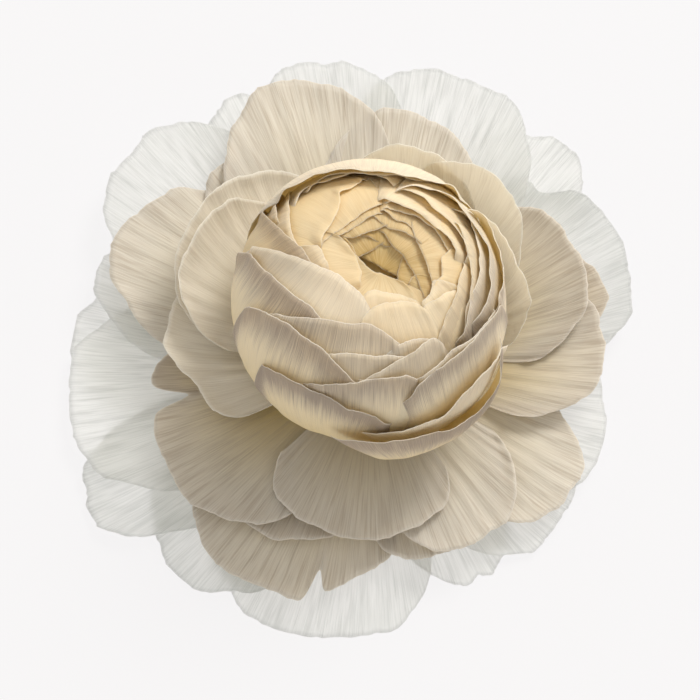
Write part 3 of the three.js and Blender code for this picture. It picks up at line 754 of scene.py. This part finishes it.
def tone_group():
    """Colour of a petal: claw, blade, a streaked band along its edge that is partly its own tint and partly
    painted shade, and a pale edge that is a painted highlight.
    """
    name = "petal tone"
    if name in bpy.data.node_groups:
        return bpy.data.node_groups[name]
    inputs = {
        "Blade": WHITE, "Claw": WHITE, "Tinge": WHITE, "Edge": WHITE,
        "Claw reach": 0.4, "Band outside": 0.8, "Band inside": 0.3, "Band reach": 6.0,
        "Vein depth": 0.3, "Edge width": 0.35, "Deep": 0.0, "Deep reach": 4.0,
        "Lines": 0.0, "Streaks": 0.0,
    }
    group, n, given, result = new_group(name, inputs, COLOUR, ("Colour",))
    along, outside, tinge = n.attribute("place")
    from_edge = n.attribute("fan")[2]
    lines, streaks = given["Lines"], given["Streaks"]

    # The claw's colour, which goes up further in a strongly tinged petal: partly its own colour, partly
    # painted shade on petals in shade
    base = n.ramp(along, 0.0, given["Claw reach"], 1.0, 0.0)
    base = n.times(base, n.math("MAXIMUM", tinge, 0.6), clamp=True)
    shade = n.mix(base, given["Blade"], given["Claw"])

    # The same colour deep inside, on the inner face away from the edge: partly the petals' yellow base,
    # partly painted golden shade in the crevices
    depth = n.ramp(from_edge, 0.3, given["Deep reach"], 0.0, given["Deep"])
    inner = n.times(depth, n.scaled(outside, -1.0, 1.0))
    shade = n.mix(inner, shade, given["Claw"])

    # The darker band along the edge, whose inner side runs out in streaks: partly the petals' own tint,
    # partly painted shade
    ragged = n.scaled(lines, 0.24, 0.88)
    streaky = n.scaled(streaks, 0.22, 0.92)
    reach = n.times(n.times(ragged, streaky), given["Band reach"])
    near = n.ramp(from_edge, 0.0, reach, 1.0, 0.0)
    faces = {0: outside, 2: given["Band inside"], 3: given["Band outside"]}
    strength = n.times(n.times(near, n.put("ShaderNodeMix", faces).outputs[0]), tinge)
    band = n.times(strength, n.scaled(lines, 0.55, 0.68), clamp=True)
    shade = n.mix(band, shade, given["Tinge"])

    # The veins, and the pale edge itself, a painted highlight along the edge
    veins = n.times(n.times(lines, n.scaled(streaks, 0.7, 0.6)), given["Vein depth"])
    shade = n.mix(veins, shade, given["Tinge"])
    rim = n.ramp(from_edge, 0.0, given["Edge width"], 0.7, 0.0)
    shade = n.mix(rim, shade, given["Edge"])
    group.links.new(shade, result["Colour"])
    return group


def new_material(name):
    material = bpy.data.materials.new(name)
    material.use_nodes = True
    material.node_tree.nodes.clear()
    return material, Nodes(material.node_tree)


def tissue_nodes(n, spacing, relief, **tone):
    """Colour and bump of a veined tissue. spacing, relief: distance between its veins, and their height.

    tone: values of the tone group's inputs."""
    veins = n.put("ShaderNodeGroup", {"Spacing": spacing}, node_tree=vein_group())
    inputs = {"Lines": veins.outputs["Lines"], "Streaks": veins.outputs["Streaks"]}
    for key, value in tone.items():
        title = key.replace("_", " ").capitalize()
        inputs[title] = value if np.isscalar(value) else (*value, 1.0)
    shades = n.put("ShaderNodeGroup", inputs, node_tree=tone_group())
    height = {"Strength": 0.6, "Distance": relief * MM, "Height": veins.outputs["Height"]}
    return shades.outputs["Colour"], n.put("ShaderNodeBump", height).outputs[0]


def petal_material(name, glow, glow_share, clear, vein_share=0.6, **tone):
    """A thin petal: satin faces, light that passes through, fanned veins, and a tinge with painted shade
    towards the tip.

    glow, glow_share: colour of the light that passes through, and its part beside the petal's own.
    clear: how much passes. vein_share: distance between the veins, as a share of the usual one."""
    material, n = new_material(name)
    spacing = vein_share * bpy.context.scene.flower_sizes.vein_gap / MM
    colour, bump = tissue_nodes(n, spacing, 0.2, **tone)
    satin = n.put("ShaderNodeBsdfPrincipled", {
        "Base Color": colour, "Roughness": 0.62, "Specular IOR Level": 0.28, "Normal": bump,
        "Sheen Weight": 0.12, "Sheen Roughness": 0.5,
    })
    through_it = n.mix(glow_share, colour, (*glow, 1.0))
    passing = n.put("ShaderNodeBsdfTranslucent", {"Color": through_it, "Normal": bump})
    both = n.put("ShaderNodeMixShader", {0: clear, 1: satin.outputs[0], 2: passing.outputs[0]})
    n.put("ShaderNodeOutputMaterial", {"Surface": both.outputs[0]})
    return material


def green_material(name, green, edge):
    """Soft green tissue with fine ribs along it, darker where it begins and paler at its edges."""
    material, n = new_material(name)
    colour, bump = tissue_nodes(
        n, 0.55, 0.15, blade=green, claw=[0.7 * part for part in green], tinge=edge, edge=edge,
        claw_reach=0.3, band_outside=0.5, band_inside=0.4, band_reach=4.0, vein_depth=0.25)
    skin = n.put("ShaderNodeBsdfPrincipled", {
        "Base Color": colour, "Roughness": 0.58, "Normal": bump,
        "Subsurface Weight": 0.15, "Sheen Weight": 0.2,
    })
    n.put("ShaderNodeOutputMaterial", {"Surface": skin.outputs[0]})
    return material


def tinge_and_shade_across(tinge, columns):
    """How strongly a petal is tinged and darkened by painted shade: all over, or from side to side where a
    pair is given.
    """
    return tinge if np.isscalar(tinge) else np.linspace(*tinge, columns)[None]


def open_layer(name, petals, usual, material, node, seed, thicker=1.0):
    """One piece of some open petals."""
    sizes = bpy.context.scene.flower_sizes
    tissue = Tissue()
    for i, petal in enumerate(petals):
        own = seed + SEED_STEP * i
        petal = {**usual, **petal}
        points, place, fan = open_petal(petal, sizes, own)
        tinge = tinge_and_shade_across(petal["tinge"], points.shape[1])
        tissue.add_blade(points, place, fan, sizes.thickness / MM * thicker, own, tinge)
    tissue.make(name, material, node)


def petal_layer(name, petals, usual, slot, seed, **look):
    """One piece of all the open petals of a layer, with a material of its own."""
    colours = bpy.context.scene.flower_colours
    material = petal_material(f"{name} petal", blade=getattr(colours, name), claw=colours.claw, **look)
    open_layer(f"{name}_petals_fine", petals, usual, material, f"{name}_petals", seed)


class FLOWER_OT_guard_petals(bpy.types.Operator):
    """Build the wide outermost petals that the flower lies on"""

    bl_idname = "flower.guard_petals"
    bl_label = "Guard petals"

    def execute(self, context):
        petal_layer(
            "guard", GUARD, GUARD_USUAL, "guard_white", seed=100, tinge=(0.47, 0.49, 0.455),
            edge=(0.93, 0.93, 0.91), glow=(0.99, 0.985, 0.97), glow_share=0.66, clear=0.87, vein_depth=0.58,
            claw_reach=0.3, band_outside=0.15, band_inside=0.15, band_reach=14.0)
        return {"FINISHED"}


class FLOWER_OT_spread_petals(bpy.types.Operator):
    """Build the petals that lie spread on the guard petals"""

    bl_idname = "flower.spread_petals"
    bl_label = "Spread petals"

    def execute(self, context):
        # Their claw colour reaches far up: partly their own olive base, partly painted shade towards the head
        petal_layer(
            "spread", SPREAD, SPREAD_USUAL, "spread_cream", seed=400, tinge=(0.40, 0.32, 0.235),
            edge=(0.90, 0.84, 0.75), glow=(0.90, 0.78, 0.58), glow_share=0.5, clear=0.42, vein_depth=0.4,
            claw_reach=1.2, band_outside=0.4, band_inside=0.26, band_reach=12.0)
        return {"FINISHED"}


class FLOWER_OT_collar_petals(bpy.types.Operator):
    """Build the petals that are cupped upright round the head"""

    bl_idname = "flower.collar_petals"
    bl_label = "Collar petals"

    def execute(self, context):
        petal_layer(
            "collar", COLLAR, COLLAR_USUAL, "collar_cream", seed=700, tinge=(0.50, 0.42, 0.32),
            edge=(0.93, 0.89, 0.80), glow=(0.99, 0.95, 0.86), glow_share=0.7, clear=0.5, vein_depth=0.28,
            claw_reach=0.85, band_outside=0.4, band_inside=0.14, band_reach=10.0)
        return {"FINISHED"}


def heart():
    """The closed heart under the petals round the eye: a cap of a globe, as a thick blade."""
    rows, columns = 14, 48
    radius, dimple, reach = 14.8, 0.6, 60.0
    away = np.radians(np.linspace(0.05, reach, rows))[:, None]
    turn = np.linspace(0, 2 * np.pi, columns)[None]
    r = radius - dimple * np.cos(away) ** 2 + 0 * turn
    out = r * np.sin(away)
    points = round_axis(out, turn, GLOBE_CENTRE + r * np.cos(away))
    share_along, from_edge, thickness, seed = 0.1, 9.0, 1.0, 3
    fan = np.stack([out * turn, r * away, from_edge + 0 * r], -1)
    return in_place(turned_to_eye(points)), share_along + 0 * r, fan, thickness, seed


def head_layer(name, petals, kind, material, seed):
    """One piece of some petals of the head. Those round the eye come with the heart under them."""
    sizes = bpy.context.scene.flower_sizes
    tissue = Tissue()
    for i, petal in enumerate(petals):
        own = seed + SEED_STEP * i
        # Round the eye the tinge grows shell by shell inwards: partly the petals' own golden brown, partly
        # painted shade in the eye's hollow
        if kind == "eye":
            tinge = EYE_TINGE_AND_SHADE * (petal["level"] - INNER[0]["level"] + 1)
        else:
            tinge = tinge_and_shade_across(petal["tinge"], HEAD_COLUMNS)
        form = "open" if petal["bulge"] else kind
        points, place, fan = wrapped_petal(petal, sizes, own, form)
        tissue.add_blade(in_place(points), place, fan, THINNER * sizes.thickness / MM, own, tinge)
    if kind == "eye":
        tissue.add_blade(*heart())
    tissue.make(name, material, "head_petals")


class FLOWER_OT_head_petals(bpy.types.Operator):
    """Build the petals wrapped round the head, as three pieces from its outside to its eye"""

    bl_idname = "flower.head_petals"
    bl_label = "Head petals"

    def execute(self, context):
        colours = context.scene.flower_colours
        # The heart colour reaches far up the head's petals and deep into their inner faces: partly their
        # yellow base, partly painted golden shade in the crevices
        usual = dict(
            blade=colours.head, claw=colours.heart, edge=(0.97, 0.94, 0.86), glow=(1.0, 0.85, 0.50),
            glow_share=0.6, vein_share=0.36, vein_depth=0.15, edge_width=0.2, deep=0.85, deep_reach=5.0)
        outer = petal_material(
            "head petal", tinge=colours.tinge, clear=0.34, claw_reach=1.3,
            band_outside=1.0, band_inside=0.04, band_reach=9.5, **usual)
        head_layer("head_petals_outer", CRESCENTS + OUTER, "closed", outer, 1000)
        middle = petal_material(
            "middle petal", tinge=colours.tinge, clear=0.44, claw_reach=1.7,
            band_outside=0.95, band_inside=0.04, band_reach=7.5, **usual)
        head_layer("head_petals_middle", MIDDLE, "closed", middle, 1400)
        # The petals round the eye are tinged golden brown on both faces: partly their own colour, partly
        # painted shade in the eye's hollow
        inner = petal_material(
            "inner petal", tinge=colours.eye, clear=0.46, claw_reach=2.2,
            band_outside=0.9, band_inside=0.9, band_reach=7.0, **usual)
        head_layer("head_petals_inner", INNER, "eye", inner, 1800)
        return {"FINISHED"}


STEM_RADIUS = 2.4
STEM_SIDES = 48
STEM_RIBS = 0.03
STEM_FROM_EDGE = 5.0  # distance from any edge that the stem is shaded as


def turned_grid(profile, sides, seed):
    """A turned form from a profile of (r, z), with soft ribs along it."""
    profile = np.array(profile, dtype=float)
    angle = np.linspace(0, 2 * np.pi, sides, endpoint=False)[None]
    ribs = 1 + STEM_RIBS * wobble(np.cos(angle) * 4, seed, (3, 5)) * (profile[:, :1] > 1)
    z = profile[:, 1:] + 0 * angle
    points = round_axis(profile[:, :1] * ribs, angle, z)
    share = (profile[:, 1:] - profile[:, 1].min()) / np.ptp(profile[:, 1])
    place = np.stack([0.2 + 0.4 * share + 0 * angle, 0 * z, 0.5 + 0 * z], -1)
    fan = np.stack([angle * STEM_RADIUS + 0 * z, z, STEM_FROM_EDGE + 0 * z], -1)
    return points, place, fan


class FLOWER_OT_stem(bpy.types.Operator):
    """Build the stub of the stem and the receptacle that it swells into"""

    bl_idname = "flower.stem"
    bl_label = "Stem and receptacle"

    def execute(self, context):
        low = STEM_LOW[2] / MM
        high = STEM_HIGH[2] / MM
        cut = [(0.05, low + 0.25), (0.9, low + 0.22), (1.0, low + 0.05), (2.1, low), (2.36, low + 0.1)]
        stub = [(STEM_RADIUS, low + 0.4), (STEM_RADIUS, 1.8), (2.55, 2.4), (3.1, 3.1), (3.5, 3.7)]
        receptacle = [(3.6, 4.4), (3.6, 8), (3.6, 12), (3.58, high - 0.8), (3.3, high - 0.45)]
        top = [(2, high - 0.2), (0.05, high)]
        tissue = Tissue()
        tissue.add_surface(*turned_grid(cut + stub + receptacle + top, STEM_SIDES, 5))
        material = green_material("stem green", context.scene.flower_colours.stem, (0.42, 0.48, 0.2))
        tissue.make("stem_fine", material, "stem_and_receptacle")
        return {"FINISHED"}


class FLOWER_OT_sepals(bpy.types.Operator):
    """Build the five bent-back sepals under the petals"""

    bl_idname = "flower.sepals"
    bl_label = "Sepals"

    def execute(self, context):
        material = green_material("sepal green", context.scene.flower_colours.sepal, (0.55, 0.55, 0.3))
        usual = dict(foot=SEPAL_FOOT, pile=0, start=-26, end=-6, belly=0.5, floor=0.2)
        sepals = [ray(20 + 72 * i, 16, 0.9, 4.2, 0) for i in range(5)]
        open_layer("sepals_fine", sepals, usual, material, "sepals", 50, thicker=1.6)
        return {"FINISHED"}


# The stage, in metres and watts
VIEW_ELEVATION = 70.0
VIEW_DISTANCE = 0.636
VIEW_LENS = 180.0
VIEW_TARGET = (-4.0 * MM, 5.42 * MM, 0.0)  # from the stem's axis
TABLE_REACH = 1.5
TABLE_GLOW = 0.86
ROOM_LIGHT = 0.83
KEY_POWER = 6.8
KEY_SIZE = 0.38
KEY_PLACE = Vector((0.38, 0.48, 0.68))
KEY_AIM = Vector((0, 0, 0.02))  # from the stem's axis


class FLOWER_OT_stage(bpy.types.Operator):
    """Build the pale light table, the soft light and the camera"""

    bl_idname = "flower.stage"
    bl_label = "Stage"

    def execute(self, context):
        mesh = bpy.data.meshes.new("table")
        corners = [(x * TABLE_REACH, y * TABLE_REACH, 0) for x, y in ((-1, -1), (1, -1), (1, 1), (-1, 1))]
        mesh.from_pydata(corners, [], [(0, 1, 2, 3)])
        material = bpy.data.materials.new("pale table")
        material.use_nodes = True
        surface = material.node_tree.nodes["Principled BSDF"].inputs
        surface["Base Color"].default_value = (0.06, 0.06, 0.06, 1)
        surface["Roughness"].default_value = 0.8
        surface["Specular IOR Level"].default_value = 0.0
        surface["Emission Color"].default_value = (1, 0.985, 0.985, 1)
        surface["Emission Strength"].default_value = TABLE_GLOW
        mesh.materials.append(material)
        table = put_in_scene("table", mesh)

        context.scene.world = bpy.data.worlds.new("studio")
        context.scene.world.use_nodes = True
        background = context.scene.world.node_tree.nodes["Background"].inputs
        background["Color"].default_value = (1, 1, 1, 1)
        background["Strength"].default_value = ROOM_LIGHT
        data = bpy.data.lights.new("soft key", "AREA")
        data.shape = "DISK"
        data.size = KEY_SIZE
        data.energy = KEY_POWER
        data.color = (1, 0.98, 0.95)
        light = put_in_scene("soft key", data)
        light.location = KEY_PLACE
        light.rotation_euler = (Vector(AXIS) + KEY_AIM - KEY_PLACE).to_track_quat("-Z", "Y").to_euler()

        data = bpy.data.cameras.new("camera")
        data.lens = VIEW_LENS
        data.clip_start = 0.01
        camera = put_in_scene("camera", data)
        look = Vector((0, cos(radians(VIEW_ELEVATION)), -sin(radians(VIEW_ELEVATION))))
        camera.location = Vector(AXIS) + Vector(VIEW_TARGET) - look * VIEW_DISTANCE
        camera.rotation_euler = look.to_track_quat("-Z", "Y").to_euler()
        context.scene.camera = camera
        context.scene.view_settings.view_transform = "Standard"
        return {"FINISHED"}


class FLOWER_PT_panel(bpy.types.Panel):
    """Lists the steps that build the flower"""

    bl_idname = "FLOWER_PT_panel"
    bl_label = "Ranunculus flower"
    bl_space_type = "VIEW_3D"
    bl_region_type = "UI"
    bl_category = "Flower"

    def draw(self, context):
        for group in (context.scene.flower_sizes, context.scene.flower_colours):
            for name in group.__annotations__:
                self.layout.prop(group, name)
        for operator in OPERATORS:
            self.layout.operator(operator.bl_idname)


OPERATORS = (
    FLOWER_OT_stem,
    FLOWER_OT_sepals,
    FLOWER_OT_guard_petals,
    FLOWER_OT_spread_petals,
    FLOWER_OT_collar_petals,
    FLOWER_OT_head_petals,
    FLOWER_OT_stage,
)
CLASSES = (FlowerColours, FlowerSizes, *OPERATORS, FLOWER_PT_panel)


def register():
    for item in CLASSES:
        bpy.utils.register_class(item)
    bpy.types.Scene.flower_colours = PointerProperty(type=FlowerColours)
    bpy.types.Scene.flower_sizes = PointerProperty(type=FlowerSizes)


def unregister():
    del bpy.types.Scene.flower_colours
    del bpy.types.Scene.flower_sizes
    for item in reversed(CLASSES):
        bpy.utils.unregister_class(item)


def main():
    """Build the flower and its stage."""
    register()
    for operator in OPERATORS:
        group, name = operator.bl_idname.split(".")
        getattr(getattr(bpy.ops, group), name)()


if __name__ == "__main__":
    main()
